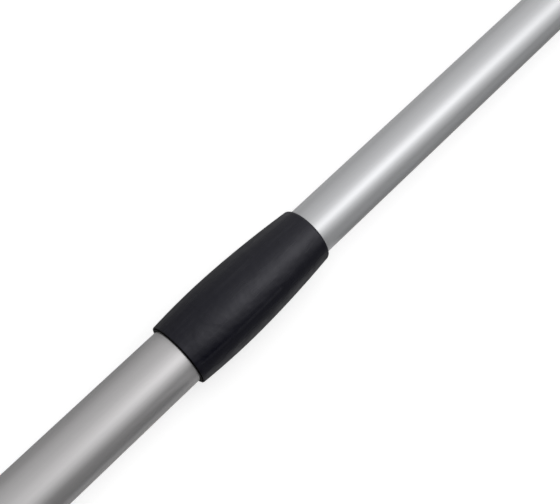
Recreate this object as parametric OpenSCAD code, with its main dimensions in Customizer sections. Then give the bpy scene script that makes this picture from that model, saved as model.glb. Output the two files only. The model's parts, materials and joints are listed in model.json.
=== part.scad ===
// Snow broom with a telescopic pole, lying flat on the ground.
// The pole runs along +X towards the brush head, and the head's bar lies along Y.
// Along the pole, places are measured from the mouth of the outer tube, and the whole broom is then
// shifted so that the origin lies under the middle of its bounding box, on the ground.

/* [Outer tube] */
// Outside diameter of the outer tube
outer_d = 25; // [24.5:0.5:30]
// Wall of the outer tube
outer_wall = 1; // [0.7:0.1:1.2]
// Length of the outer tube
outer_len = 640; // [450:10:900]

/* [Inner tube] */
// Outside diameter of the inner tube
inner_d = 22; // [18:0.5:22.5]
// Wall of the inner tube
inner_wall = 1; // [0.7:0.1:1.5]
// Length of the inner tube
inner_len = 640; // [500:10:900]
// Length of the inner tube inside the outer one, as shown
overlap = 300; // [150:10:400]

/* [Guide sleeve and plug] */
// Length of the thin sleeve that guides the inner tube
guide_len = 80; // [40:5:120]
// Thickness of the guide sleeve's inner flange
guide_flange_t = 2; // [1.5:0.5:4]
// Diameter of the plug's neck inside that flange
plug_neck_d = 16; // [10:0.5:17]
// Length of the plug inside the inner tube
plug_len = 30; // [15:1:60]
// Thickness of the plug's end flange
plug_flange_t = 4; // [2:0.5:8]

/* [Lock collar] */
// Distance of the collar's fattest place behind the tube's mouth
collar_back_of_mouth = 14; // [8:1:18]
// Length from the collar's rear lip to its fattest place
collar_rear_len = 24.8; // [18:0.2:45]
// Length from the fattest place to the collar's front
collar_front_len = 47.5; // [42:0.5:65]
// Wall of the collar's rear lip
lip_wall = 1.4; // [1.1:0.1:3]
// Depth of the hollow that the skin leaves under the rear lip
lip_hollow = 1.2; // [0.6:0.1:2]
// Thickness of the skin's edge at the rear lip
lip_edge_t = 0.4; // [0.3:0.05:0.6]
// How far the core's rear ring stands out behind the skin's lip
ring_out = 0.4; // [0.2:0.1:1]
// Wall of the core's rear ring
ring_wall = 0.5; // [0.4:0.05:0.6]
// Swell of the collar over its rear lip, on the radius
collar_swell = 1.04; // [0.8:0.02:3]
// Wall of the collar's front, round the inner tube
front_wall = 1.3; // [1:0.05:3]
// Length of the rounding at the collar's front, along the pole
collar_edge_len = 1.4; // [1.2:0.1:4]
// How fast the collar narrows towards its front
collar_taper = 1.8; // [1.4:0.05:2.5]
// Thickness of the collar's soft skin
skin_t = 0.8; // [0.4:0.1:0.9]

/* [Threaded sleeve and clamp bush] */
// Length of the threaded sleeve on the outer tube
sleeve_len = 25.5; // [15:0.5:27]
// Wall of the threaded sleeve
sleeve_wall = 0.75; // [0.5:0.05:0.9]
// Thickness of the sleeve's lip over the tube's mouth
sleeve_lip_t = 1.5; // [1:0.1:3]
// Length of the split clamp bush
bush_len = 20; // [12:0.5:22]
// Wall of the clamp bush at its thick end
bush_wall_rear = 1.8; // [1:0.1:2]
// Wall of the clamp bush at its thin end
bush_wall_front = 0.8; // [0.5:0.1:1]
// Width of the slit in the clamp bush
bush_slit = 2; // [1:0.5:4]
// Travel of the collar along the pole as it is unscrewed
collar_travel = 1.5; // [0.5:0.1:3]

/* [Grip and end cap] */
// Outside diameter of the foam grip
grip_d = 36; // [30:0.5:44]
// Length of the foam grip
grip_len = 290; // [150:5:400]
// Rounding of the foam grip's ends
grip_edge_r = 4; // [1:0.5:5]
// Length of the end cap's plug inside the tube
cap_plug_len = 30; // [15:1:60]
// Wall of the end cap's hollow plug
cap_plug_wall = 2; // [1:0.5:5]
// Diameter of the end cap's flange
cap_flange_d = 33; // [27:0.5:36]
// Thickness of the end cap's flange
cap_flange_t = 6; // [3:0.5:10]
// Rounding of the end cap's rear edge
cap_edge_r = 2.5; // [0.5:0.5:2.5]
// Thickness of the hanging eye
eye_t = 10; // [6:0.5:14]
// Diameter of the hole in the hanging eye
eye_hole_d = 10; // [5:0.5:12]
// Width of material round that hole
eye_rim = 6.5; // [4:0.5:10]

/* [Swivel fork] */
// Depth of the socket that holds the inner tube
socket_depth = 45; // [30:1:70]
// Wall of the socket
socket_wall = 3.5; // [2.5:0.5:6]
// Thickness of the socket's floor
socket_floor = 5; // [3:0.5:10]
// Rounding of the socket's rim
socket_rim_r = 1.2; // [0.4:0.1:2]
// Length of the neck from the socket's floor to the ears
neck_len = 21; // [12:1:40]
// Radius of the fork's ears and of the tongue between them
ear_r = 21; // [17:0.5:24]
// Thickness of each ear
ear_t = 8; // [7:0.5:10]
// Rounding of the ears' edges
ear_edge_r = 6; // [2:0.5:8]
// Gap between the tongue and the floor of the fork's slot
slot_gap = 1.5; // [0.5:0.5:4]

/* [Swivel bolt] */
// Diameter of the swivel bolt
bolt_d = 8; // [5:0.5:9]
// Diameter of the bolt's head
bolt_head_d = 14; // [11:0.5:18]
// Height of the bolt's head
bolt_head_h = 3.8; // [2.5:0.1:4.2]
// Width across flats of the bolt's hexagon socket
bolt_key_af = 5; // [3:0.5:6]
// Depth of the bolt's hexagon socket
bolt_key_depth = 2.4; // [1:0.1:2.4]
// Width across flats of the nut
nut_af = 13; // [10:0.5:17]
// Height of the nut
nut_h = 4.4; // [3:0.1:5]
// Diameter of the friction washers
washer_d = 26; // [16:0.5:32]
// Thickness of the friction washers
washer_t = 0.9; // [0.5:0.1:2]

/* [Socket screw] */
// Diameter of the screw through the socket
screw_d = 3.8; // [2.5:0.1:5]
// Diameter of its head
screw_head_d = 7.2; // [6:0.1:9]
// Height of its head
screw_head_h = 2; // [1.5:0.1:2.2]
// Length of its shank below the head
screw_len = 8; // [6:0.5:12]
// Distance of the screw from the socket's rim
screw_inset = 18; // [8:1:25]

/* [Brush head] */
// Length of the head's bar
head_len = 420; // [250:10:600]
// Depth of the bar, along the pole
head_depth = 30; // [24:1:50]
// Thickness of the bar
head_thick = 36; // [34:0.5:44]
// Rounding of the bar's long edges
bar_edge_r = 7; // [3:0.5:10]
// Rounding of the bar's four corners
bar_corner_r = 11; // [5:0.5:11.5]
// Gap between the ears and the bar
bar_gap = 5; // [2:0.5:12]
// Number of moulded pockets in each broad face
pocket_count = 8; // [2:2:14]
// Width of a pocket along the pole
pocket_w = 12; // [7:0.5:14]
// Depth of a pocket
pocket_depth = 3; // [1:0.5:5]
// Width of the rib between two pockets
pocket_rib = 8; // [4:0.5:16]
// Rounding of a pocket's corners
pocket_r = 3; // [1:0.5:3]

/* [Bristles] */
// Free length of the bristles
bristle_len = 110; // [50:5:160]
// Number of strands in a row
row_strands = 100; // [75:1:125]
// Diameter of a strand
strand_d = 2; // [1:0.1:2.6]
// Distance between rows
row_pitch = 6; // [4:0.1:7.5]
// Thickness of the backing strip of a row
strip_t = 4; // [2:0.5:8]
// Lean of the outermost strands along the bar, in degrees
fan_along = 7; // [0:0.5:12]
// Lean of the outermost rows across the bar, in degrees
fan_across = 3; // [0:0.25:4]

/* [Fits] */
// Gap of a glued or pressed joint, on the radius
bond_gap = 0.05; // [0.02:0.01:0.1]
// Gap of a running fit, on the radius
run_gap = 0.05; // [0.02:0.01:0.08]
// Gap between the inner tube and the sleeve's lip or the clamp bush
slide_gap = 0.1; // [0.05:0.01:0.2]
// Gap between the collar's thread and the sleeve's, on the radius
thread_gap = 0.15; // [0.1:0.01:0.25]
// Gap between the collar's rear lip and the outer tube
lip_gap = 0.4; // [0.2:0.05:0.8]
// Gap between the collar's front and the inner tube
front_gap = 0.3; // [0.2:0.05:0.6]
// Gap round a bolt, screw or nut in its recess
recess_gap = 0.2; // [0.1:0.05:0.5]
// End play of pieces that stay clear of each other
play = 0.5; // [0.2:0.1:1]

/* [Hidden] */
$fn = 96;
hull_fn = 32;
cut = 1; // how far a cutting tool runs past the face that it cuts
edge_share = 0.9; // largest share of a wall that its rounding may take

// Radii along the pole
outer_r = outer_d / 2;
outer_bore_r = outer_r - outer_wall;
grip_bore_r = outer_r + bond_gap;
inner_r = inner_d / 2;
inner_bore_r = inner_r - inner_wall;
grip_r = grip_d / 2;
grip_wall = grip_r - grip_bore_r;
grip_edge = min(grip_edge_r, edge_share * grip_wall);
socket_r = inner_r + bond_gap + socket_wall;

// Places along the pole, from the outer tube's mouth
tube_rear = -outer_len;
inner_rear = -overlap;
inner_front = inner_len - overlap;
socket_rear = inner_front - socket_depth;
socket_front = inner_front + bond_gap + socket_floor;
ears_rear = socket_front + neck_len;
slot_rear = ears_rear + slot_gap;
pivot_x = slot_rear + slot_gap + ear_r;
bar_rear = pivot_x + ear_r + bar_gap;
bar_front = bar_rear + head_depth;
bristle_tip = bar_front + bristle_len;
eye_r = eye_hole_d / 2 + eye_rim;
eye_x = tube_rear - cap_flange_t - eye_r;
cap_rear = eye_x - eye_r;
shift = -(cap_rear + bristle_tip) / 2;

// The pole's height above the ground, which the head and the grip rest on
axis_h = max(head_thick, grip_d) / 2;

// Collar
collar_x = -collar_back_of_mouth;
collar_rear = collar_x - collar_rear_len;
collar_front = collar_x + collar_front_len;
lip_r = outer_r + lip_gap + lip_wall;
ring_r = outer_r + lip_gap + ring_wall;
collar_r = lip_r + collar_swell;
front_hole_r = inner_r + front_gap;
front_r = front_hole_r + front_wall;
sleeve_r = outer_r + bond_gap + sleeve_wall;
sleeve_rear = -sleeve_len;
nut_bore_r = sleeve_r + thread_gap;
nut_shoulder = sleeve_rear - collar_travel - play;
bush_rear = sleeve_lip_t + play;
bush_front = bush_rear + bush_len;
bush_bore_r = inner_r + slide_gap;
core_depth = skin_t + bond_gap;
side_steps = 24;
edge_steps = 6;

// Swivel
fork_gap = head_thick - 2 * ear_t;
tongue_t = fork_gap - 2 * (washer_t + 2 * run_gap);
bolt_r = bolt_d / 2;
bolt_recess = bolt_head_h + play;
nut_recess = nut_h + play;

// Bristles, in as many rows as there are nodes for them
bristle_rows = 4;
strip_w = row_pitch - 2 * bond_gap;
strip_len = head_len - 2 * bar_corner_r;
strand_pitch = (strip_len - 2 * strand_d) / (row_strands - 1);
pocket_pitch = strip_len / pocket_count;

// Radius of the collar's outside at a place x along the pole: a bulge that falls away both ways from
// the fattest place, by the square towards the rear lip and by collar_taper towards the front.
function collar_profile(x) =
    x < collar_x
        ? collar_r - (collar_r - lip_r) * pow((collar_x - x) / collar_rear_len, 2)
        : collar_r - (collar_r - front_r) * pow((x - collar_x) / collar_front_len, collar_taper);

// Points of the collar's outside, from a place near the rear lip to the start of the front's rounding,
// laid in by depth, as [radius, place along the pole].
function collar_side(depth, from) = [
    for (i = [0:side_steps])
        let (x = from + (collar_front - collar_edge_len - from) * i / side_steps)
            [collar_profile(x) - depth, x]
];

// Points of the front's rounding, a quarter of an ellipse from the side to the hole, laid in by depth.
function collar_edge(depth) =
    let (drop = collar_profile(collar_front - collar_edge_len) - front_hole_r)
        [
            for (i = [1:edge_steps])
                let (a = 90 * i / edge_steps)
                    [front_hole_r + (drop - depth) * cos(a),
                     collar_front - collar_edge_len + (collar_edge_len - depth) * sin(a)]
        ];

function reversed(points) = [for (i = [len(points) - 1:-1:0]) points[i]];

// Turns what is drawn about its own Z axis so that Z runs along the pole, and puts its start at x.
module on_pole(x) {
    translate([x + shift, 0, axis_h]) rotate([0, 90, 0]) children();
}

// Puts what is drawn about the origin at a place x on the pole's axis, unturned.
module at_pole(x) {
    translate([x + shift, 0, axis_h]) children();
}

module pipe(x_from, x_to, r, bore_r) {
    on_pole(x_from) difference() {
        cylinder(h = x_to - x_from, r = r);
        translate([0, 0, -cut]) cylinder(h = x_to - x_from + 2 * cut, r = bore_r);
    }
}

module rounded_rect(w, h, r) {
    square([w - 2 * r, h], center = true);
    square([w, h - 2 * r], center = true);
    for (sx = [-1, 1], sy = [-1, 1])
        translate([sx * (w / 2 - r), sy * (h / 2 - r)]) circle(r = r);
}

module hexagon(af, h) {
    cylinder(h = h, d = af / cos(30), $fn = 6);
}

module outer_tube() {
    color("silver") pipe(tube_rear, 0, outer_r, outer_bore_r);
}

module inner_tube() {
    color("silver") difference() {
        pipe(inner_rear, inner_front, inner_r, inner_bore_r);
        at_pole(socket_rear + screw_inset) cylinder(h = inner_r + cut, d = screw_d + 2 * recess_gap);
    }
}

// Foam sleeve on the outer tube, with its two outer edges rounded.
module foam_grip() {
    color("#1c1c1e") on_pole(tube_rear) rotate_extrude()
        translate([grip_bore_r, grip_len / 2]) intersection() {
            rounded_rect(2 * grip_wall, grip_len, grip_edge);
            translate([0, -grip_len]) square([grip_r, 2 * grip_len]);
        }
}

module end_cap() {
    plug_r = outer_bore_r - bond_gap;
    color("#202022") {
        on_pole(tube_rear) difference() {
            cylinder(h = cap_plug_len, r = plug_r);
            cylinder(h = cap_plug_len + cut, r = plug_r - cap_plug_wall);
        }
        on_pole(tube_rear - cap_flange_t) rotate_extrude() intersection() {
            translate([0, cap_flange_t]) rounded_rect(cap_flange_d, 2 * cap_flange_t, cap_edge_r);
            square([cap_flange_d, cap_flange_t]);
        }
        at_pole(0) translate([0, 0, -eye_t / 2]) linear_extrude(eye_t) difference() {
            union() {
                translate([eye_x, 0]) circle(r = eye_r);
                translate([eye_x, -eye_r]) square([tube_rear - cap_flange_t / 2 - eye_x, 2 * eye_r]);
            }
            translate([eye_x, 0]) circle(d = eye_hole_d);
        }
    }
}

// Sleeve glued on the outer tube, with a lip over the tube's mouth that stops the guide sleeve.
module threaded_sleeve() {
    color("#2b2b2e") {
        pipe(sleeve_rear, 0, sleeve_r, outer_r + bond_gap);
        pipe(0, sleeve_lip_t, sleeve_r, inner_r + slide_gap);
    }
}

// Split cone that the collar squeezes on the inner tube.
module clamp_bush() {
    color("#d8d8d2") difference() {
        on_pole(bush_rear) difference() {
            cylinder(h = bush_len, r1 = bush_bore_r + bush_wall_rear, r2 = bush_bore_r + bush_wall_front);
            translate([0, 0, -cut]) cylinder(h = bush_len + 2 * cut, r = bush_bore_r);
        }
        at_pole(bush_rear - cut) translate([0, -bush_slit / 2, 0])
            cube([bush_len + 2 * cut, bush_slit, outer_d]);
    }
}

// Hard core of the collar: rear ring, thread, cone and front wall.
module collar_nut() {
    color("#26262a") on_pole(0) rotate_extrude() polygon(concat(
        [
            [outer_r + lip_gap, collar_rear - ring_out],
            [ring_r, collar_rear - ring_out],
            [ring_r, collar_rear + lip_hollow]
        ],
        collar_side(core_depth, collar_rear + lip_hollow),
        collar_edge(core_depth),
        [
            [front_hole_r, bush_front + play],
            [bush_bore_r + bush_wall_front + thread_gap, bush_front + play],
            [bush_bore_r + bush_wall_rear + thread_gap, bush_rear],
            [nut_bore_r, bush_rear],
            [nut_bore_r, nut_shoulder],
            [outer_r + lip_gap, nut_shoulder]
        ]
    ));
}

// Soft skin moulded over the core, from the rear lip, where it thins to an edge, round the front.
module collar_skin() {
    color("#1d1d20") on_pole(0) rotate_extrude() polygon(concat(
        collar_side(0, collar_rear),
        collar_edge(0),
        reversed(collar_edge(skin_t)),
        reversed(collar_side(skin_t, collar_rear + lip_hollow)),
        [[lip_r - lip_edge_t, collar_rear]]
    ));
}

// Thin sleeve round the inner tube's rear end. Its flange is held between the tube and the plug.
module guide_sleeve() {
    sleeve_in = inner_r + run_gap;
    sleeve_out = outer_bore_r - run_gap;
    flange_front = inner_rear - run_gap;
    color("#e4e2da") {
        pipe(flange_front - guide_flange_t, inner_rear + guide_len, sleeve_out, sleeve_in);
        pipe(flange_front - guide_flange_t, flange_front, sleeve_out, plug_neck_d / 2 + run_gap);
    }
}

module tube_plug() {
    flange_front = inner_rear - guide_flange_t - 3 * run_gap;
    flange_r = inner_r;
    color("#2b2b2e") {
        on_pole(inner_rear) cylinder(h = plug_len, r = inner_bore_r - bond_gap);
        on_pole(flange_front) cylinder(h = inner_rear - flange_front, d = plug_neck_d);
        on_pole(flange_front - plug_flange_t) cylinder(h = plug_flange_t, r = flange_r);
    }
}

// Rounded block from x_from to x_to, as broad and thick as the ears.
module ear_block(x_from, x_to) {
    on_pole(x_from) linear_extrude(x_to - x_from)
        rounded_rect(head_thick, 2 * ear_r, ear_edge_r);
}

// Round end of the ears about the pivot, with the same rounded edges.
module ear_disc() {
    at_pole(pivot_x) rotate_extrude() intersection() {
        rounded_rect(2 * ear_r, head_thick, ear_edge_r);
        translate([0, -head_thick]) square([ear_r + cut, 2 * head_thick]);
    }
}

// Socket on the inner tube, a neck, and two ears that hold the head's tongue.
module head_fork() {
    color("#222224") difference() {
        union() {
            on_pole(socket_rear) rotate_extrude() {
                square([socket_r - socket_rim_r, socket_front - socket_rear]);
                translate([0, socket_rim_r])
                    square([socket_r, socket_front - socket_rear - socket_rim_r]);
                translate([socket_r - socket_rim_r, socket_rim_r]) circle(r = socket_rim_r);
            }
            hull() {
                on_pole(socket_front - socket_floor)
                    cylinder(h = socket_floor, r = socket_r, $fn = hull_fn);
                on_pole(ears_rear) linear_extrude(slot_gap)
                    rounded_rect(head_thick, 2 * ear_r, ear_edge_r, $fn = hull_fn);
            }
            ear_block(ears_rear, pivot_x);
            ear_disc();
        }
        // Tube seat
        on_pole(socket_rear - cut) cylinder(h = cut + socket_depth + bond_gap, r = inner_r + bond_gap);
        // Slot for the tongue
        at_pole(slot_rear) translate([0, -ear_r - cut, -fork_gap / 2])
            cube([pivot_x + ear_r + cut - slot_rear, 2 * (ear_r + cut), fork_gap]);
        // Swivel bolt, its head and its nut
        at_pole(pivot_x) {
            translate([0, 0, -head_thick / 2 - cut])
                cylinder(h = head_thick + 2 * cut, r = bolt_r + run_gap);
            translate([0, 0, head_thick / 2 - bolt_recess])
                cylinder(h = bolt_recess + cut, d = bolt_head_d + 2 * recess_gap);
            translate([0, 0, -head_thick / 2 - cut]) hexagon(nut_af + 2 * recess_gap, nut_recess + cut);
        }
        // Socket screw and its head
        at_pole(socket_rear + screw_inset) {
            cylinder(h = socket_r + cut, d = screw_d + 2 * run_gap);
            translate([0, 0, socket_r - screw_head_h])
                cylinder(h = screw_head_h + cut, d = screw_head_d + 2 * recess_gap);
        }
    }
}

module socket_screw() {
    color("#b9bcc0") at_pole(socket_rear + screw_inset) {
        translate([0, 0, socket_r - screw_head_h - screw_len]) cylinder(h = screw_len, d = screw_d);
        translate([0, 0, socket_r - screw_head_h]) cylinder(h = screw_head_h, d = screw_head_d);
    }
}

// Bolt with a domed head, sunk in the upper ear, and a hexagon socket.
module swivel_bolt() {
    seat = head_thick / 2 - bolt_recess;
    tip = -head_thick / 2 + play;
    dome_h = bolt_head_h / 2;
    dome_r = (pow(bolt_head_d / 2, 2) + pow(dome_h, 2)) / (2 * dome_h);
    color("#b9bcc0") at_pole(pivot_x) difference() {
        union() {
            translate([0, 0, tip]) cylinder(h = seat - tip, r = bolt_r);
            translate([0, 0, seat]) intersection() {
                cylinder(h = bolt_head_h, d = bolt_head_d);
                translate([0, 0, bolt_head_h - dome_r]) sphere(r = dome_r);
            }
        }
        translate([0, 0, seat + bolt_head_h - bolt_key_depth]) hexagon(bolt_key_af, bolt_key_depth + cut);
    }
}

module swivel_nut() {
    color("#b9bcc0") at_pole(pivot_x) translate([0, 0, -head_thick / 2 + play]) difference() {
        hexagon(nut_af, nut_h);
        translate([0, 0, -cut]) cylinder(h = nut_h + 2 * cut, r = bolt_r + bond_gap);
    }
}

module friction_washers() {
    color("#e4e2da") at_pole(pivot_x) for (side = [-1, 1])
        translate([0, 0, side * (tongue_t + washer_t + 2 * run_gap) / 2 - washer_t / 2]) difference() {
            cylinder(h = washer_t, d = washer_d);
            translate([0, 0, -cut]) cylinder(h = washer_t + 2 * cut, r = bolt_r + run_gap);
        }
}

// Bar with rounded edges, moulded pockets in its broad faces, a seat for the bristle strips and the
// tongue that swivels between the fork's ears.
module head_bar() {
    middle = (bar_rear + bar_front) / 2;
    seat_len = strip_len + 2 * bond_gap;
    seat_w = bristle_rows * row_pitch;
    color("#222224") difference() {
        union() {
            at_pole(middle) intersection() {
                translate([0, 0, -head_thick / 2]) linear_extrude(head_thick)
                    rounded_rect(head_depth, head_len, bar_corner_r);
                translate([0, head_len / 2, 0]) rotate([90, 0, 0]) linear_extrude(head_len)
                    rounded_rect(head_depth, head_thick, bar_edge_r);
            }
            at_pole(pivot_x) translate([0, 0, -tongue_t / 2]) linear_extrude(tongue_t) {
                circle(r = ear_r);
                translate([0, -ear_r]) square([middle - pivot_x, 2 * ear_r]);
            }
        }
        // Seat of the bristle strips
        at_pole(bar_front - strip_t) translate([0, -seat_len / 2, -seat_w / 2])
            cube([strip_t + cut, seat_len, seat_w]);
        // Pockets
        for (side = [-1, 1], i = [0:pocket_count - 1])
            at_pole(middle - strip_t / 2)
                translate([0, (i - (pocket_count - 1) / 2) * pocket_pitch, side * head_thick / 2])
                    translate([0, 0, -pocket_depth]) linear_extrude(2 * pocket_depth)
                        rounded_rect(pocket_w, pocket_pitch - pocket_rib, pocket_r);
        // Swivel bore
        at_pole(pivot_x) translate([0, 0, -tongue_t / 2 - cut])
            cylinder(h = tongue_t + 2 * cut, r = bolt_r + run_gap);
    }
}

// One row: a backing strip and its strands, which fan out from the middle of the head.
module bristle_row(row) {
    across = row - (bristle_rows - 1) / 2;
    lean_across = bristle_rows > 1 ? fan_across * 2 * across / (bristle_rows - 1) : 0;
    color("#8d949b") at_pole(bar_front) translate([0, 0, across * row_pitch]) {
        translate([-strip_t, -strip_len / 2, -strip_w / 2]) cube([strip_t, strip_len, strip_w]);
        for (i = [0:row_strands - 1]) {
            along = i - (row_strands - 1) / 2;
            lean_along = fan_along * 2 * along / (row_strands - 1);
            translate([-strip_t / 2, along * strand_pitch, 0])
                rotate([0, 90 - lean_across, 0]) rotate([-lean_along, 0, 0])
                    cylinder(h = bristle_len + strip_t / 2, d = strand_d, $fn = 3);
        }
    }
}

outer_tube();
foam_grip();
end_cap();
threaded_sleeve();
clamp_bush();
collar_nut();
collar_skin();
guide_sleeve();
inner_tube();
tube_plug();
head_fork();
socket_screw();
swivel_bolt();
swivel_nut();
friction_washers();
head_bar();
bristle_row(0);  // bristle_row_1
bristle_row(1);  // bristle_row_2
bristle_row(2);  // bristle_row_3
bristle_row(3);  // bristle_row_4
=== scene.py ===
import json
import math
import bmesh
import bpy
import numpy as np
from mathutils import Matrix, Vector


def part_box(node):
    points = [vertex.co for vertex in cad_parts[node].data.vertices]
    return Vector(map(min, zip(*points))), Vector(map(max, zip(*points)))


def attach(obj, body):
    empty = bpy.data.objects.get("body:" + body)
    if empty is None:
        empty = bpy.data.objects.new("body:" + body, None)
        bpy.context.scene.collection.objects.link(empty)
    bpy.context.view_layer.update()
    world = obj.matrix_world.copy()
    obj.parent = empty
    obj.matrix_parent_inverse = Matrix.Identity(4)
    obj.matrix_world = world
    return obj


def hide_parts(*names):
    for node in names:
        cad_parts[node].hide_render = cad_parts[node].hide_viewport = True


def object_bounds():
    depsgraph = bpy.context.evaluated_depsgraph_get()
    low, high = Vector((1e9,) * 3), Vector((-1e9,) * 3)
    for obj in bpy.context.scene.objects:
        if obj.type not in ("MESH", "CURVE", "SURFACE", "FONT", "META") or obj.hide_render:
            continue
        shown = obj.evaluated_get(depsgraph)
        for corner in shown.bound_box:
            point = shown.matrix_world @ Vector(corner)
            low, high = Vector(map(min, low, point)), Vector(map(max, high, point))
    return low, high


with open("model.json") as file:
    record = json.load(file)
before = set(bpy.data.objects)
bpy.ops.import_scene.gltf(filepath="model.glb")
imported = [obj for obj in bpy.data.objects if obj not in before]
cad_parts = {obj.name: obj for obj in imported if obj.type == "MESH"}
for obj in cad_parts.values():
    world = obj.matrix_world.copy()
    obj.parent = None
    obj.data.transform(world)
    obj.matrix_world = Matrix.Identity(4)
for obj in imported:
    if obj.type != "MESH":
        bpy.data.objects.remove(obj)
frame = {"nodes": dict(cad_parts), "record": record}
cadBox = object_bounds()
cadNodes = frame["nodes"]
mm = 0.001
print("frame:", len(cadNodes), "nodes")

tubeLow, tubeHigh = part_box("outer_tube")
poleZ = (tubeLow.z + tubeHigh.z) / 2  # height of the pole's axis
mouthX = tubeHigh.x  # mouth of the outer tube, where places along the pole start


# Meshes

def newObject(name, data):
    item = bpy.data.objects.new(name, data)
    bpy.context.scene.collection.objects.link(item)
    return item


def facePiece(name, points, faces, crease=35, merge=False):
    # points and faces as they come, shaded smooth up to the crease angle
    mesh = bpy.data.meshes.new(name)
    mesh.from_pydata(points, [], faces)
    if merge:
        work = bmesh.new()
        work.from_mesh(mesh)
        bmesh.ops.remove_doubles(work, verts=work.verts, dist=1e-7)
        work.to_mesh(mesh)
        work.free()
    mesh.polygons.foreach_set("use_smooth", np.ones(len(mesh.polygons), bool))
    mesh.set_sharp_from_angle(angle=math.radians(crease))
    mesh.update()
    return newObject(name, mesh)


def gridPiece(name, points, wrapRows=False, wrapColumns=False, crease=35):
    # quads between neighbouring points of a rows x columns grid, joined end to start where it wraps;
    # a row that is all one point becomes a closed pole
    rows, columns = points.shape[:2]
    index = np.arange(rows * columns).reshape(rows, columns)
    if wrapRows:
        index = np.vstack([index, index[:1]])
    if wrapColumns:
        index = np.hstack([index, index[:, :1]])
    quads = np.stack([index[:-1, :-1], index[:-1, 1:], index[1:, 1:], index[1:, :-1]], -1)
    poles = np.ptp(points, axis=1).max(axis=1) < 1e-9
    return facePiece(name, points.reshape(-1, 3), quads.reshape(-1, 4), crease, poles.any())


def turnedPiece(name, profile, around, crease=35):
    # a closed profile of (place along the pole, radius), carried once round the pole's axis
    turn = np.linspace(0, 2 * np.pi, around, endpoint=False)
    along = np.repeat(profile[:, :1], around, 1)
    side = profile[:, 1:] * np.cos(turn)
    up = profile[:, 1:] * np.sin(turn) + poleZ
    return gridPiece(name, np.stack([along, side, up], -1), True, True, crease)


def ellipseArc(centre, radii, fromDeg, toDeg, count):
    # points of an ellipse about a centre, both as (place, radius)
    angle = np.radians(np.linspace(fromDeg, toDeg, count))
    return np.stack([centre[0] + radii[0] * np.cos(angle), centre[1] + radii[1] * np.sin(angle)], -1)


rounding = dict(crease=32, flat=0.5, segments=3)  # angles in degrees


def softenedCopy(nodeName, name, width):
    # the CAD node's own mesh, merged, with its outward edges rounded by a bevel
    mesh = cadNodes[nodeName].data.copy()
    crease = math.radians(rounding["crease"])
    work = bmesh.new()
    work.from_mesh(mesh)
    bmesh.ops.remove_doubles(work, verts=work.verts, dist=1e-6)
    flat = math.radians(rounding["flat"])
    bmesh.ops.dissolve_limit(work, angle_limit=flat, verts=work.verts, edges=work.edges)
    weight = work.edges.layers.float.new("bevel_weight_edge")
    for edge in work.edges:
        if len(edge.link_faces) == 2:
            turn = edge.calc_face_angle_signed(0)
            edge[weight] = float(turn > crease)
            edge.smooth = abs(turn) < crease
    work.to_mesh(mesh)
    work.free()
    mesh.materials.clear()
    mesh.polygons.foreach_set("use_smooth", np.ones(len(mesh.polygons), bool))
    piece = newObject(name, mesh)
    bevel = piece.modifiers.new("roundedEdges", "BEVEL")
    bevel.width = width
    bevel.segments = rounding["segments"]
    bevel.limit_method = "WEIGHT"
    bevel.harden_normals = True
    bevel.use_clamp_overlap = True
    return piece


def dress(piece, body, material, slotName, *replaced):
    # material, body and the nodes that the piece stands for, which are hidden; the slot name is not used
    piece.data.materials.append(material)
    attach(piece, body)
    if replaced:
        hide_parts(*replaced)
    return piece


# Shader nodes

def feed(tree, node, links):
    # inputs of a node, from sockets or from values that are the same all over
    for label, source in links.items():
        if isinstance(source, bpy.types.NodeSocket):
            tree.links.new(source, node.inputs[label])
        else:
            node.inputs[label].default_value = source


def addNode(tree, kind, links=None, **values):
    node = tree.nodes.new(kind)
    for label, value in values.items():
        setattr(node, label, value)
    feed(tree, node, links or {})
    return node


def maths(tree, operation, *values):
    return addNode(tree, "ShaderNodeMath", dict(enumerate(values)), operation=operation).outputs[0]


def remap(tree, value, start=0.0, stop=1.0, low=0.0, high=1.0, blend="LINEAR"):
    # start to stop becomes low to high, and holds past either end
    links = {"Value": value, "From Min": start, "From Max": stop, "To Min": low, "To Max": high}
    return addNode(tree, "ShaderNodeMapRange", links, interpolation_type=blend).outputs["Result"]


def noise(tree, place, scale, detail, roughness=0.5):
    links = {"Vector": place, "Scale": scale, "Detail": detail, "Roughness": roughness}
    return addNode(tree, "ShaderNodeTexNoise", links).outputs["Fac"]


def ownPlace(tree):
    return addNode(tree, "ShaderNodeTexCoord").outputs["Object"]


def splitAxes(tree, vector):
    return addNode(tree, "ShaderNodeSeparateXYZ", {"Vector": vector}).outputs


def mixColours(tree, factor, low, high):
    # from one colour to another, each a colour or a socket
    mix = addNode(tree, "ShaderNodeMix", {"Factor": factor}, data_type="RGBA")
    for socket, colour in zip([s for s in mix.inputs if s.type == "RGBA"], (low, high)):
        if isinstance(colour, bpy.types.NodeSocket):
            tree.links.new(colour, socket)
        else:
            socket.default_value = (*colour, 1)
    return [s for s in mix.outputs if s.type == "RGBA"][0]


def bumped(tree, height, strength, distance):
    links = {"Height": height, "Strength": strength, "Distance": distance}
    return addNode(tree, "ShaderNodeBump", links).outputs["Normal"]


# Shader groups

def newGroup(name, inputs, outputs):
    tree = bpy.data.node_groups.new(name, "ShaderNodeTree")
    for label, value in inputs.items():
        socket = tree.interface.new_socket(label, in_out="INPUT", socket_type="NodeSocketFloat")
        socket.default_value = value
    for label in outputs:
        tree.interface.new_socket(label, in_out="OUTPUT", socket_type="NodeSocketFloat")
    return tree, tree.nodes.new("NodeGroupInput").outputs, tree.nodes.new("NodeGroupOutput")


def groupNode(tree, group, inputs):
    return addNode(tree, "ShaderNodeGroup", inputs, node_tree=group).outputs


grain = dict(scale=1500.0, detail=2.0, patchScale=45.0, patchDetail=4.0, patchRoughness=0.6, patches=(0.35, 0.65))


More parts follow.
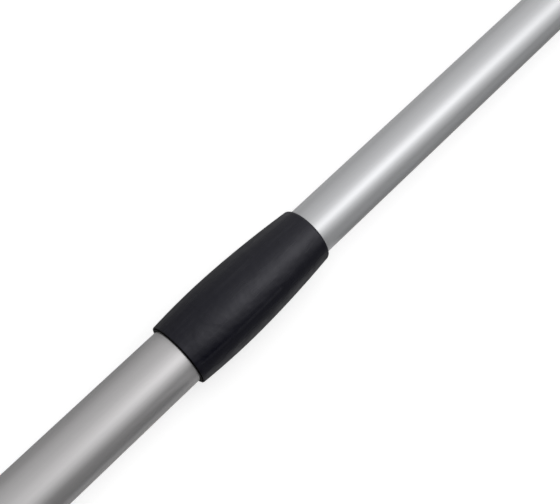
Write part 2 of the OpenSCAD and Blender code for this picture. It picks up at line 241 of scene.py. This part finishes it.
def makeGrainGroup():
    # fine moulded grain: two sizes of noise on the object's own coordinates
    inputs = {"Scale": grain["scale"], "Patch Scale": grain["patchScale"], "Patch Detail": grain["patchDetail"]}
    tree, given, result = newGroup("mouldedGrain", inputs, ["Height", "Patch"])
    place = ownPlace(tree)
    fine = noise(tree, place, given["Scale"], grain["detail"])
    broad = noise(tree, place, given["Patch Scale"], given["Patch Detail"], grain["patchRoughness"])
    feed(tree, result, {"Height": fine, "Patch": remap(tree, broad, *grain["patches"])})
    return tree


streak = dict(scale=900.0, stretch=0.01, detail=3.0, roughness=0.7, smudgeScale=22.0, smudgeDetail=3.0)


def makeStreakGroup():
    # lines drawn along the pole: noise whose coordinates are squeezed along X
    inputs = {"Scale": streak["scale"], "Stretch": streak["stretch"]}
    tree, given, result = newGroup("drawnStreaks", inputs, ["Streak", "Smudge"])
    place = ownPlace(tree)
    squeeze = addNode(tree, "ShaderNodeCombineXYZ", {"X": given["Stretch"], "Y": 1.0, "Z": 1.0}).outputs[0]
    drawn = addNode(tree, "ShaderNodeVectorMath", {0: place, 1: squeeze}, operation="MULTIPLY").outputs[0]
    feed(tree, result, {"Streak": noise(tree, drawn, given["Scale"], streak["detail"], streak["roughness"]),
                        "Smudge": noise(tree, place, streak["smudgeScale"], streak["smudgeDetail"])})
    return tree


cell = dict(scale=700.0, pitShare=0.43, pitReach=0.28)


def makeCellGroup():
    # closed foam cells: distance to the nearest cell centre, two sizes over each other
    tree, given, result = newGroup("foamCells", {"Scale": cell["scale"]}, ["Cell", "Speck"])
    place = ownPlace(tree)
    larger = maths(tree, "MULTIPLY", given["Scale"], cell["pitShare"])
    cells, pits = [addNode(tree, "ShaderNodeTexVoronoi", {"Vector": place, "Scale": scale}).outputs["Distance"]
                   for scale in (given["Scale"], larger)]
    pit = remap(tree, pits, 0.0, cell["pitReach"])
    feed(tree, result, {"Cell": maths(tree, "ADD", cells, pit), "Speck": pit})
    return tree


mouldedGrain = makeGrainGroup()
drawnStreaks = makeStreakGroup()
foamCells = makeCellGroup()


# Materials

def newMaterial(name):
    # an empty material, with its tree and the socket of its surface
    material = bpy.data.materials.new(name)
    material.use_nodes = True
    tree = material.node_tree
    tree.nodes.clear()
    return material, tree, tree.nodes.new("ShaderNodeOutputMaterial").inputs["Surface"]


def shadedMaterial(name):
    material, tree, surface = newMaterial(name)
    shader = tree.nodes.new("ShaderNodeBsdfPrincipled")
    tree.links.new(shader.outputs["BSDF"], surface)
    return material, tree, shader


def metalMaterial(name, look):
    # drawn lines in colour and height, and smudges that change the gloss
    material, tree, shader = shadedMaterial(name)
    lines = groupNode(tree, drawnStreaks, {"Scale": look["lineScale"], "Stretch": look["lineStretch"]})
    feed(tree, shader, {
        "Metallic": look["metallic"],
        "Base Color": mixColours(tree, lines["Streak"], look["dark"], look["light"]),
        "Roughness": remap(tree, lines["Smudge"], 0, 1, *look["roughness"]),
        "Normal": bumped(tree, lines["Streak"], look["bump"], look["lineDepth"])})
    return material


def mouldedMaterial(name, look):
    # fine grain in height, and broad patches in colour and gloss
    material, tree, shader = shadedMaterial(name)
    moulded = groupNode(tree, mouldedGrain, {"Scale": look["grainScale"]})
    feed(tree, shader, {
        "Specular IOR Level": look["specular"],
        "Base Color": mixColours(tree, moulded["Patch"], look["dark"], look["light"]),
        "Roughness": remap(tree, moulded["Patch"], 0, 1, *look["roughness"]),
        "Normal": bumped(tree, moulded["Height"], look["bump"], look["grainDepth"])})
    return material


# the line is partly a rubbed line and partly painted highlight: a lighter band that lifts sheen which runs dark
# there
rubAndSheen = dict(turn=53.5, half=3.2, end=7.5 * mm, fade=2.0 * mm, patches=(0.30, 0.52), level=1.6)  # angles in degrees


def rubAndSheenLine(tree, patches):
    # uneven line along the pole: near one angle about its axis, and behind a place past the tube's mouth
    # the line's lighter colour is partly a rubbed line and partly painted highlight
    axes = splitAxes(tree, ownPlace(tree))
    side = maths(tree, "MULTIPLY", axes["Y"], -1.0)
    up = maths(tree, "SUBTRACT", axes["Z"], poleZ)
    off = maths(tree, "SUBTRACT", maths(tree, "ARCTAN2", side, up), math.radians(rubAndSheen["turn"]))
    line = remap(tree, maths(tree, "ABSOLUTE", off), math.radians(rubAndSheen["half"]), 0.0, 0.0, rubAndSheen["level"])
    end = mouthX + rubAndSheen["end"]
    behind = remap(tree, axes["X"], end, end - rubAndSheen["fade"])
    uneven = remap(tree, patches, *rubAndSheen["patches"])
    return maths(tree, "MULTIPLY", maths(tree, "MULTIPLY", line, behind), uneven)


def skinMaterial(name, look):
    # soft skin: fine grain, shallow waves that break its shine, faint scuffs, a line along the pole partly rubbed
    # and partly painted highlight, and duller towards its edges
    material, tree, shader = shadedMaterial(name)
    skin = groupNode(tree, mouldedGrain, {"Scale": look["grainScale"], "Patch Scale": look["waveScale"],
                                          "Patch Detail": look["waveDetail"]})
    lines = groupNode(tree, drawnStreaks, {"Scale": look["scuffScale"], "Stretch": look["scuffStretch"]})["Streak"]
    # the colour goes lighter on the scuffs, and on the line, which is partly painted highlight
    scuffAndSheen = maths(tree, "MAXIMUM", remap(tree, lines, *look["scuffs"]), rubAndSheenLine(tree, lines))
    waves = maths(tree, "MULTIPLY", skin["Patch"], 1 - look["scuffShare"])
    worn = maths(tree, "MULTIPLY_ADD", scuffAndSheen, look["scuffShare"], waves)
    height = maths(tree, "MULTIPLY_ADD", skin["Height"], look["grainShare"], worn)
    facing = addNode(tree, "ShaderNodeLayerWeight", {"Blend": 0.5}).outputs["Facing"]
    dull = remap(tree, facing, *look["edge"], 0.0, look["edgeRoughness"])
    feed(tree, shader, {
        "Specular IOR Level": look["specular"],
        "Specular Tint": (*look["tint"], 1),
        "Base Color": mixColours(tree, scuffAndSheen, look["dark"], look["light"]),
        "Roughness": maths(tree, "ADD", remap(tree, worn, 0, 1, *look["roughness"]), dull),
        "Normal": bumped(tree, height, look["bump"], look["waveDepth"])})
    return material


def foamMaterial(name, look):
    # cells in height, and specks in colour and gloss
    material, tree, shader = shadedMaterial(name)
    foam = groupNode(tree, foamCells, {"Scale": look["cellScale"]})
    feed(tree, shader, {
        "Specular IOR Level": look["specular"],
        "Base Color": mixColours(tree, foam["Speck"], look["dark"], look["light"]),
        "Roughness": remap(tree, foam["Speck"], 0, 1, *look["roughness"]),
        "Normal": bumped(tree, foam["Cell"], look["bump"], look["cellDepth"])})
    return material


def bristleMaterial(name, look):
    # each strand carries its own shade, and its place from root to tip
    material, tree, shader = shadedMaterial(name)
    shade, reach = [addNode(tree, "ShaderNodeAttribute", attribute_name=label).outputs["Fac"]
                    for label in ("strandShade", "strandReach")]
    strand = mixColours(tree, shade, look["dark"], look["light"])
    feed(tree, shader, {
        "Specular IOR Level": look["specular"],
        "Base Color": mixColours(tree, remap(tree, reach, look["tipFrom"], 1.0), strand, look["tip"]),
        "Roughness": remap(tree, shade, 0, 1, *look["roughness"])})
    return material


outerSatin = metalMaterial("outerSatin", dict(
    dark=(0.431, 0.424, 0.426), light=(0.478, 0.470, 0.472), metallic=0.60, roughness=(0.19, 0.25),
    lineScale=900.0, lineStretch=0.006, bump=0.05, lineDepth=0.02 * mm))
innerSatin = metalMaterial("innerSatin", dict(
    dark=(0.426, 0.431, 0.440), light=(0.467, 0.472, 0.481), metallic=0.55, roughness=(0.17, 0.22),
    lineScale=900.0, lineStretch=0.006, bump=0.05, lineDepth=0.02 * mm))
platedSteel = metalMaterial("platedSteel", dict(
    dark=(0.50, 0.50, 0.49), light=(0.60, 0.60, 0.60), metallic=1.0, roughness=(0.24, 0.38),
    lineScale=600.0, lineStretch=1.0, bump=0.1, lineDepth=0.02 * mm))
softCollar = skinMaterial("softCollar", dict(
    dark=(0.0009, 0.0010, 0.0047), light=(0.0060, 0.0061, 0.0100), specular=0.295, tint=(0.94, 0.935, 1.0),
    roughness=(0.2, 0.3), edge=(0.45, 0.8), edgeRoughness=0.3, grainScale=2600.0, grainShare=0.15,
    waveScale=220.0, waveDetail=1.0, waveDepth=0.09 * mm, bump=1.0,
    scuffs=(0.5, 0.72), scuffScale=420.0, scuffStretch=0.08, scuffShare=0.28))
# nearly black and dull, far darker than the other black plastic: painted shade for the crevice under the collar's
# lip, where the core shows
coreBlackPaintedShade = mouldedMaterial("coreBlackPaintedShade", dict(
    dark=(0.0008, 0.0008, 0.0010), light=(0.0014, 0.0014, 0.0016), specular=0.12, roughness=(0.5, 0.6),
    grainScale=1900.0, bump=0.1, grainDepth=0.04 * mm))
blackPlastic = mouldedMaterial("blackPlastic", dict(
    dark=(0.016, 0.016, 0.017), light=(0.022, 0.022, 0.023), specular=0.45, roughness=(0.42, 0.55),
    grainScale=1900.0, bump=0.25, grainDepth=0.06 * mm))
paleNylon = mouldedMaterial("paleNylon", dict(
    dark=(0.62, 0.60, 0.53), light=(0.70, 0.68, 0.61), specular=0.5, roughness=(0.35, 0.5),
    grainScale=1200.0, bump=0.1, grainDepth=0.03 * mm))
gripFoam = foamMaterial("gripFoam", dict(
    dark=(0.010, 0.010, 0.0105), light=(0.026, 0.026, 0.027), specular=0.25, roughness=(0.95, 0.8),
    cellScale=850.0, bump=0.6, cellDepth=0.25 * mm))
greyBristle = bristleMaterial("greyBristle", dict(
    dark=(0.20, 0.215, 0.23), light=(0.40, 0.42, 0.44), tip=(0.46, 0.48, 0.50), tipFrom=0.9, specular=0.5,
    roughness=(0.34, 0.5)))

slotMaterials = {
    "tube_aluminium": outerSatin, "steel": platedSteel, "collar_soft": softCollar, "black_plastic": blackPlastic,
    "natural_nylon": paleNylon, "foam": gripFoam, "bristle": greyBristle}
for part in frame["record"]["subparts"]:
    # the collar's core takes the black of painted shade
    finish = coreBlackPaintedShade if part["node"] == "collar_nut" else slotMaterials[part["material_slot"]]
    for slot in cadNodes[part["node"]].material_slots:
        slot.material = finish
print("materials:", len(slotMaterials))


# Tubes

tubes = dict(wall=1.0 * mm, chamfer=0.25 * mm, around=192)


def tubePiece(name, nodeName):
    # outside, front end, bore and rear end of a tube, with its two outer edges broken
    low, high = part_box(nodeName)
    radius = (high.z - low.z) / 2
    bore, edge = radius - tubes["wall"], tubes["chamfer"]
    profile = np.array([
        (low.x + edge, radius), (high.x - edge, radius), (high.x, radius - edge), (high.x, bore),
        (low.x, bore), (low.x, radius - edge)])
    return turnedPiece(name, profile, tubes["around"])


dress(tubePiece("outerTube", "outer_tube"), "handle", outerSatin, "tube_aluminium", "outer_tube")
dress(tubePiece("innerTube", "inner_tube"), "shaft", innerSatin, "tube_aluminium", "inner_tube")
print("tubes done")


# Lock collar

collar = dict(rearLength=24.8 * mm, swell=1.04 * mm, frontRadius=12.6 * mm, holeRadius=11.3 * mm, taper=1.8,
              edgeLength=1.4 * mm, skin=0.8 * mm, lipRound=0.12 * mm, lipEdge=0.4 * mm, lipHollow=1.2 * mm,
              around=192, sideSteps=72, insideSteps=40, crease=50)


def collarRadius(x, low, high):
    # bulge that falls away from the fattest place, by the square to the rear and by the taper to the front
    fattest, fatRadius = low.x + collar["rearLength"], (high.z - low.z) / 2
    rear = np.clip((fattest - x) / collar["rearLength"], 0, None) ** 2
    front = np.clip((x - fattest) / (high.x - fattest), 0, None) ** collar["taper"]
    return fatRadius - collar["swell"] * rear - (fatRadius - collar["frontRadius"]) * front


def collarPiece(name):
    # closed profile: rear lip, bulged side, rounded front edge, and the same back along the inside, less the skin
    low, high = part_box("collar_skin")
    lip, edge, skin = collar["lipRound"], collar["edgeLength"], collar["skin"]
    side = np.linspace(low.x + lip, high.x - edge, collar["sideSteps"])
    radius = collarRadius(side, low, high)
    drop = radius[-1] - collar["holeRadius"]
    lipArc = ellipseArc((low.x + lip, radius[0] - lip), (lip, lip), 180, 90, 6)
    frontArc = ellipseArc((high.x - edge, collar["holeRadius"]), (edge, drop), 90, 0, 14)
    innerArc = ellipseArc((high.x - edge, collar["holeRadius"]), (edge - skin, drop - skin), 0, 90, 8)
    inside = np.linspace(high.x - edge, low.x + collar["lipHollow"], collar["insideSteps"])
    inner = np.stack([inside, collarRadius(inside, low, high) - skin], -1)
    innerEnd = np.array([(low.x, radius[0] - collar["lipEdge"])])
    profile = np.vstack([lipArc[:-1], np.stack([side, radius], -1), frontArc[1:], innerArc, inner[1:], innerEnd])
    return turnedPiece(name, profile, collar["around"], collar["crease"])


dress(collarPiece("collarSkin"), "collar", softCollar, "collar_soft", "collar_skin")
print("collar done")


# Foam grip

grip = dict(edge=4.0 * mm, bore=12.55 * mm, wave=0.12 * mm, waveLengths=(0.11, 0.047, 0.021, 0.012), mostLobes=5,
            around=144, steps=150, crease=60, seed=11)


def gripPiece(name):
    # foam tube with rounded ends, whose outside wanders a little: a few sine waves along and round it
    low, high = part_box("foam_grip")
    radius, edge = (high.z - low.z) / 2, grip["edge"]
    rearArc = ellipseArc((low.x + edge, radius - edge), (edge, edge), 180, 90, 9)
    frontArc = ellipseArc((high.x - edge, radius - edge), (edge, edge), 90, 0, 9)
    side = np.linspace(low.x + edge, high.x - edge, grip["steps"])[1:-1]
    outside = np.vstack([rearArc, np.stack([side, np.full_like(side, radius)], -1), frontArc])
    profile = np.vstack([[(low.x, grip["bore"])], outside, [(high.x, grip["bore"])]])
    turn = np.linspace(0, 2 * np.pi, grip["around"], endpoint=False)
    draws = np.random.default_rng(grip["seed"])
    waves = np.zeros((len(profile), len(turn)))
    for length in grip["waveLengths"]:
        lobes = draws.integers(1, grip["mostLobes"] + 1)
        phase = draws.uniform(0, 2 * np.pi, 2)
        waves += np.sin(profile[:, :1] * 2 * np.pi / length + phase[0]) * np.cos(lobes * turn + phase[1])
    waves = (waves - waves.max()) * grip["wave"] / len(grip["waveLengths"])  # only ever inwards
    worked = profile[:, 1:] + waves * (profile[:, 1:] > radius - edge)
    points = np.stack([profile[:, :1] + 0 * turn, worked * np.cos(turn), worked * np.sin(turn) + poleZ], -1)
    return gridPiece(name, points, True, True, grip["crease"])


foamGrip = dress(gripPiece("foamGrip"), "handle", gripFoam, "foam", "foam_grip")
print("grip done")


# Moulded pieces

edges = dict(cap=1.0 * mm, fork=0.8 * mm, bar=0.8 * mm, bolt=0.25 * mm)
dress(softenedCopy("end_cap", "endCap", edges["cap"]), "handle", blackPlastic, "black_plastic", "end_cap")
dress(softenedCopy("head_fork", "headFork", edges["fork"]), "shaft", blackPlastic, "black_plastic", "head_fork")
dress(softenedCopy("head_bar", "headBar", edges["bar"]), "head", blackPlastic, "black_plastic", "head_bar")
print("moulded pieces done")


# Fasteners

screw = dict(head=3.6 * mm, headHeight=2.0 * mm, crown=0.5 * mm, edge=0.3 * mm, shank=1.9 * mm, tip=1.5 * mm,
             rimIn=0.03 * mm, rimUp=0.02 * mm, crossReach=1.8 * mm, crossWidth=0.8 * mm, crossDepth=1.0 * mm,
             crossWall=0.18 * mm, around=96, rings=36, crease=40)


def screwPiece(name):
    # crowned head: height falls by the square of the radius, less a cross with sloped walls; then rim, shank and tip
    low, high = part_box("socket_screw")
    turn = np.linspace(0, 2 * np.pi, screw["around"], endpoint=False)
    rings = np.linspace(0, screw["head"] - screw["edge"], screw["rings"])[:, None]
    x, y = np.abs(rings * np.cos(turn)), np.abs(rings * np.sin(turn))
    arms = [np.clip((limit - place) / screw["crossWall"], 0, 1) for limit, place in
            ((screw["crossWidth"] / 2, np.minimum(x, y)), (screw["crossReach"], np.maximum(x, y)))]
    top = high.z - screw["crown"] * (rings / screw["head"]) ** 2 - screw["crossDepth"] * arms[0] * arms[1]
    rim, under = high.z - screw["crown"], high.z - screw["headHeight"]
    rest = np.array([
        (screw["head"] - screw["rimIn"], rim + screw["rimUp"]), (screw["head"], rim - screw["edge"]),
        (screw["head"], under), (screw["shank"], under), (screw["shank"], low.z + screw["tip"]), (0, low.z)])
    radius = np.vstack([rings, rest[:, :1]]) + 0 * turn
    height = np.vstack([top, rest[:, 1:] + 0 * turn])
    middle = (low.x + high.x) / 2
    points = np.stack([middle + radius * np.cos(turn), radius * np.sin(turn), height], -1)
    return gridPiece(name, points[::-1], False, True, screw["crease"])


dress(screwPiece("socketScrew"), "shaft", platedSteel, "steel", "socket_screw")
dress(softenedCopy("swivel_bolt", "swivelBolt", edges["bolt"]), "shaft", platedSteel, "steel", "swivel_bolt")
dress(softenedCopy("swivel_nut", "swivelNut", edges["bolt"]), "shaft", platedSteel, "steel", "swivel_nut")
print("fasteners done")


# Bristles

bristles = dict(tufts=100, perTuft=28, sides=3, rings=6, strand=0.44 * mm, thinning=0.35, tuftRadius=1.3 * mm,
                uneven=3.0 * mm, rowStep=6.0 * mm, margin=2.0 * mm, fanAlong=7.0, fanAcross=1.8, splayAlong=1.5,
                splayAcross=2.2, mostAcross=3.2, spread=0.6, mostLean=1.6, tuftLean=0.5, mostCurl=1.4,
                curlAlong=2.0 * mm, curlAcross=0.7 * mm, mostTurn=6.0, crease=80, seed=23)
strips = dict(depth=4.0 * mm, side=5.9 * mm, edge=0.5 * mm, endSize=0.9, barEnd=11.0 * mm, crease=40)
barLow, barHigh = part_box("head_bar")
stripHalf = (barHigh.y - barLow.y) / 2 - strips["barEnd"]  # half of a strip's length


def stripPiece(name, row, rows):
    # backing strip: a rounded rectangle carried along the bar, drawn to a point in the middle of each end
    depth, side, edge = strips["depth"] / 2, strips["side"] / 2, strips["edge"]
    middle = (barHigh.x - depth, poleZ + (row - (rows - 1) / 2) * bristles["rowStep"])
    section = np.vstack([ellipseArc((x * (depth - edge), z * (side - edge)), (edge, edge), start, start + 90, 5)
                         for x, z, start in ((1, 1, 0), (-1, 1, 90), (-1, -1, 180), (1, -1, 270))])
    stations = np.array([-stripHalf, -stripHalf, -stripHalf + edge, stripHalf - edge, stripHalf, stripHalf])
    size = np.array([0, strips["endSize"], 1, 1, strips["endSize"], 0])
    points = np.stack([middle[0] + np.outer(size, section[:, 0]), np.repeat(stations[:, None], len(section), 1),
                       middle[1] + np.outer(size, section[:, 1])], -1)
    return gridPiece(name, points[::-1], False, True, strips["crease"])


def bristlePiece(name, row, rows):
    # strands = root + direction * reach + curl * reach squared, each a thin tube of a few sides
    draws = np.random.default_rng(bristles["seed"] + row)
    count = bristles["tufts"] * bristles["perTuft"]
    share = np.repeat(np.linspace(-1, 1, bristles["tufts"]), bristles["perTuft"])
    across = 2 * row / (rows - 1) - 1
    angle, out = draws.uniform(0, 2 * np.pi, count), np.sqrt(draws.uniform(0, 1, count))
    rootY = share * (stripHalf - bristles["margin"]) + bristles["tuftRadius"] * out * np.cos(angle)
    rootZ = poleZ + across * bristles["rowStep"] * (rows - 1) / 2 + bristles["tuftRadius"] * out * np.sin(angle)
    tuftLean = np.repeat(draws.uniform(-1, 1, (2, bristles["tufts"])), bristles["perTuft"], 1)
    lean = draws.normal(0, bristles["spread"], (2, count)) + bristles["tuftLean"] * tuftLean
    lean = np.clip(lean, -bristles["mostLean"], bristles["mostLean"])
    leanY = np.radians(bristles["fanAlong"] * share + bristles["splayAlong"] * lean[0])
    leanZ = bristles["fanAcross"] * across + bristles["splayAcross"] * lean[1]
    over = np.clip(np.abs(leanZ) - bristles["mostAcross"], 0, None)
    leanZ = np.radians(leanZ - 2 * over * np.sign(leanZ))  # what would lean too far is turned back in
    rootX = barHigh.x - strips["depth"] / 2
    length = cadBox[1][0] - rootX - bristles["uneven"] * draws.uniform(0, 1, count) ** 2
    bend = np.clip(draws.normal(0, bristles["spread"], (2, count)), -bristles["mostCurl"], bristles["mostCurl"])
    bend = bend * [[bristles["curlAlong"]], [bristles["curlAcross"]]]
    reach = np.linspace(0, 1, bristles["rings"])
    run = length[:, None] * reach  # axes: strand, ring
    spineX = rootX + run * (np.cos(leanY) * np.cos(leanZ))[:, None]
    spineY = rootY[:, None] + run * np.sin(leanY)[:, None] + bend[0][:, None] * reach ** 2
    spineZ = rootZ[:, None] + run * np.sin(leanZ)[:, None] + bend[1][:, None] * reach ** 2
    corner = np.linspace(0, 2 * np.pi, bristles["sides"], endpoint=False)
    corner = corner + draws.uniform(0, bristles["mostTurn"], count)[:, None]
    thick = bristles["strand"] / 2 * (1 - bristles["thinning"] * reach ** 3)
    ringY = thick[None, :, None] * np.cos(corner)[:, None, :]
    ringZ = thick[None, :, None] * np.sin(corner)[:, None, :]
    points = np.stack([spineX[..., None] + 0 * ringY, spineY[..., None] + ringY, spineZ[..., None] + ringZ], -1)
    index = np.arange(points[..., 0].size).reshape(points.shape[:3])
    index = np.concatenate([index, index[..., :1]], -1)
    quads = np.stack([index[:, :-1, :-1], index[:, :-1, 1:], index[:, 1:, 1:], index[:, 1:, :-1]], -1)
    tips, roots = index[:, -1, :-1], index[:, 0, -2::-1]
    faces = [*quads.reshape(-1, 4).tolist(), *tips.tolist(), *roots.tolist()]
    piece = facePiece(name, points.reshape(-1, 3), faces, bristles["crease"])
    shade = np.broadcast_to(draws.uniform(0, 1, count)[:, None, None], points.shape[:3])
    along = np.broadcast_to(reach[None, :, None], points.shape[:3])
    for label, values in (("strandShade", shade), ("strandReach", along)):
        layer = piece.data.attributes.new(label, "FLOAT", "POINT")
        layer.data.foreach_set("value", np.ascontiguousarray(values, np.float32).ravel())
    return piece


bristleNodes = sorted(n for n in cadNodes if n.startswith("bristle_row_"))
for row, nodeName in enumerate(bristleNodes):
    rowName = "Row%d" % (row + 1)
    dress(bristlePiece("bristles" + rowName, row, len(bristleNodes)), "head", greyBristle, "bristle", nodeName)
    dress(stripPiece("strip" + rowName, row, len(bristleNodes)), "head", blackPlastic, "black_plastic")
print("bristles done")


# Camera

photoView = dict(focal=982.2, width=560.0, azimuth=46.029, elevation=64.501, distance=396.81 * mm,
                 aim=(20.036 * mm, 2.408 * mm), sensor=36.0, clip=(0.01, 200.0))  # focal and width in pixels
azimuth, elevation = math.radians(photoView["azimuth"]), math.radians(photoView["elevation"])
level = math.cos(elevation)  # level part of the line of sight
sight = Vector((level * math.sin(azimuth), level * math.cos(azimuth), -math.sin(elevation)))
aimPoint = Vector((mouthX + photoView["aim"][0], photoView["aim"][1], poleZ))
camera = newObject("camera", bpy.data.cameras.new("camera"))
camera.location = aimPoint - sight * photoView["distance"]
camera.rotation_mode = "QUATERNION"
camera.rotation_quaternion = sight.to_track_quat("-Z", "Y")
camera.data.sensor_width = photoView["sensor"]
camera.data.lens = photoView["focal"] / photoView["width"] * photoView["sensor"]
camera.data.clip_start, camera.data.clip_end = photoView["clip"]
bpy.context.scene.camera = camera
print("camera done")


# Stage and light

floorLook = dict(half=200.0, drop=0.3 * mm, colour=0.60, lift=0.58)


def floorMaterial(name):
    # white matte floor, lifted to white where the camera or a reflection sees it, which keeps its shadow
    material, tree, surface = newMaterial(name)
    matte = addNode(tree, "ShaderNodeBsdfDiffuse", {"Color": (*[floorLook["colour"]] * 3, 1)})
    path = addNode(tree, "ShaderNodeLightPath").outputs
    seen = maths(tree, "MAXIMUM", path["Is Camera Ray"], path["Is Glossy Ray"])
    seen = maths(tree, "MAXIMUM", seen, path["Is Transmission Ray"])
    glow = addNode(tree, "ShaderNodeEmission", {"Strength": maths(tree, "MULTIPLY", seen, floorLook["lift"])})
    both = addNode(tree, "ShaderNodeAddShader", {0: matte.outputs[0], 1: glow.outputs[0]})
    tree.links.new(both.outputs[0], surface)
    return material


def levelSquare(name, half, height, material):
    # two by two points about the origin, facing up
    corners = np.array([[(-half, half), (half, half)], [(-half, -half), (half, -half)]])
    square = gridPiece(name, np.concatenate([corners, np.full((2, 2, 1), height)], -1))
    square.data.materials.append(material)
    return square


floor = levelSquare("floor", floorLook["half"], -floorLook["drop"], floorMaterial("whiteFloor"))

# grey sheet that only reflections see, as a studio lays a card beside metal; it glows with set greys of its own,
# which are
# painted reflections: greys at three places across it, in three sections along it, which turn into one another
card = dict(half=6.0, height=-0.12 * mm, across=(-42 * mm, -26 * mm, 50 * mm),
            rear=(0.02, 0.30, 0.27), middle=(0.28, 0.52, 0.34), front=(0.29, 0.17, 0.57),
            turns=((12 * mm, 28 * mm), (95 * mm, 112 * mm)))


def levelRamp(tree, factor, levels):
    # greys at the places across the card, with even steps between them
    ramp = addNode(tree, "ShaderNodeValToRGB", {"Fac": factor})
    ramp.color_ramp.elements.new(0.5)
    first, last = card["across"][0], card["across"][-1]
    for element, place, value in zip(ramp.color_ramp.elements, card["across"], levels):
        element.position = (place - first) / (last - first)
        element.color = (value, value, value, 1)
    return ramp.outputs["Color"]


def cardMaterial(name):
    # each place on the card glows with its own grey and is lit by nothing: painted reflections
    material, tree, surface = newMaterial(name)
    axes = splitAxes(tree, ownPlace(tree))
    across = remap(tree, axes["Y"], card["across"][0], card["across"][-1])
    grey = levelRamp(tree, across, card["rear"])
    for section, turn in zip(("middle", "front"), card["turns"]):
        along = remap(tree, axes["X"], *turn, blend="SMOOTHSTEP")
        grey = mixColours(tree, along, grey, levelRamp(tree, across, card[section]))
    glow = addNode(tree, "ShaderNodeEmission", {"Color": grey})
    tree.links.new(glow.outputs[0], surface)
    return material


flagCard = levelSquare("flagCard", card["half"], card["height"], cardMaterial("flagGrey"))
for ray in ("camera", "diffuse", "transmission", "shadow"):
    setattr(flagCard, "visible_" + ray, False)

sky = dict(rise=0.708, bend=0.80, tilt=(1.2, 0.23), key=(0.440, -0.456, 0.774), glows=((0.98, 4.66), (1.25, 25.2)))


def towards(tree, gaze, direction):
    # how far the gaze goes along a direction, and nothing where it goes away
    dot = addNode(tree, "ShaderNodeVectorMath", {0: gaze, 1: direction}, operation="DOT_PRODUCT")
    return maths(tree, "MAXIMUM", dot.outputs["Value"], 0.0)


def skyWorld(name):
    # level = rise * a power of the height, which tilts up to the front, + soft round glows about the key,
    # one wide and one narrow
    world = bpy.data.worlds.new(name)
    world.use_nodes = True
    tree = world.node_tree
    gaze = addNode(tree, "ShaderNodeTexCoord").outputs["Generated"]
    axes = splitAxes(tree, gaze)
    ahead = maths(tree, "MAXIMUM", axes["X"], 0.0)
    slope = addNode(tree, "ShaderNodeCombineXYZ", {"X": ahead, "Y": axes["Y"], "Z": axes["Z"]}).outputs[0]
    height = towards(tree, slope, (*sky["tilt"], 1.0))
    light = maths(tree, "MULTIPLY", maths(tree, "POWER", height, sky["bend"]), sky["rise"])
    facing = towards(tree, gaze, Vector(sky["key"]).normalized())
    for strength, focus in sky["glows"]:
        light = maths(tree, "MULTIPLY_ADD", maths(tree, "POWER", facing, focus), strength, light)
    feed(tree, tree.nodes["Background"], {"Color": (1, 1, 1, 1), "Strength": light})
    return world


lamp = dict(distance=1.1, size=(0.6, 0.6), power=0.4)


def softbox(name, direction, target):
    # square lamp at a distance from the target, which it faces
    light = bpy.data.lights.new(name, "AREA")
    light.shape = "RECTANGLE"
    light.size, light.size_y = lamp["size"]
    light.energy = lamp["power"]
    box = newObject(name, light)
    away = Vector(direction).normalized()
    box.location = target + away * lamp["distance"]
    box.rotation_mode = "QUATERNION"
    box.rotation_quaternion = (-away).to_track_quat("-Z", "Y")
    box.visible_camera = False
    box.visible_glossy = False  # its highlight is the sky's own glow
    return box


bpy.context.scene.world = skyWorld("studio")
softbox("keyLamp", sky["key"], Vector((mouthX, 0, poleZ)))
bpy.context.scene.view_settings.view_transform = "Standard"
print("stage done")
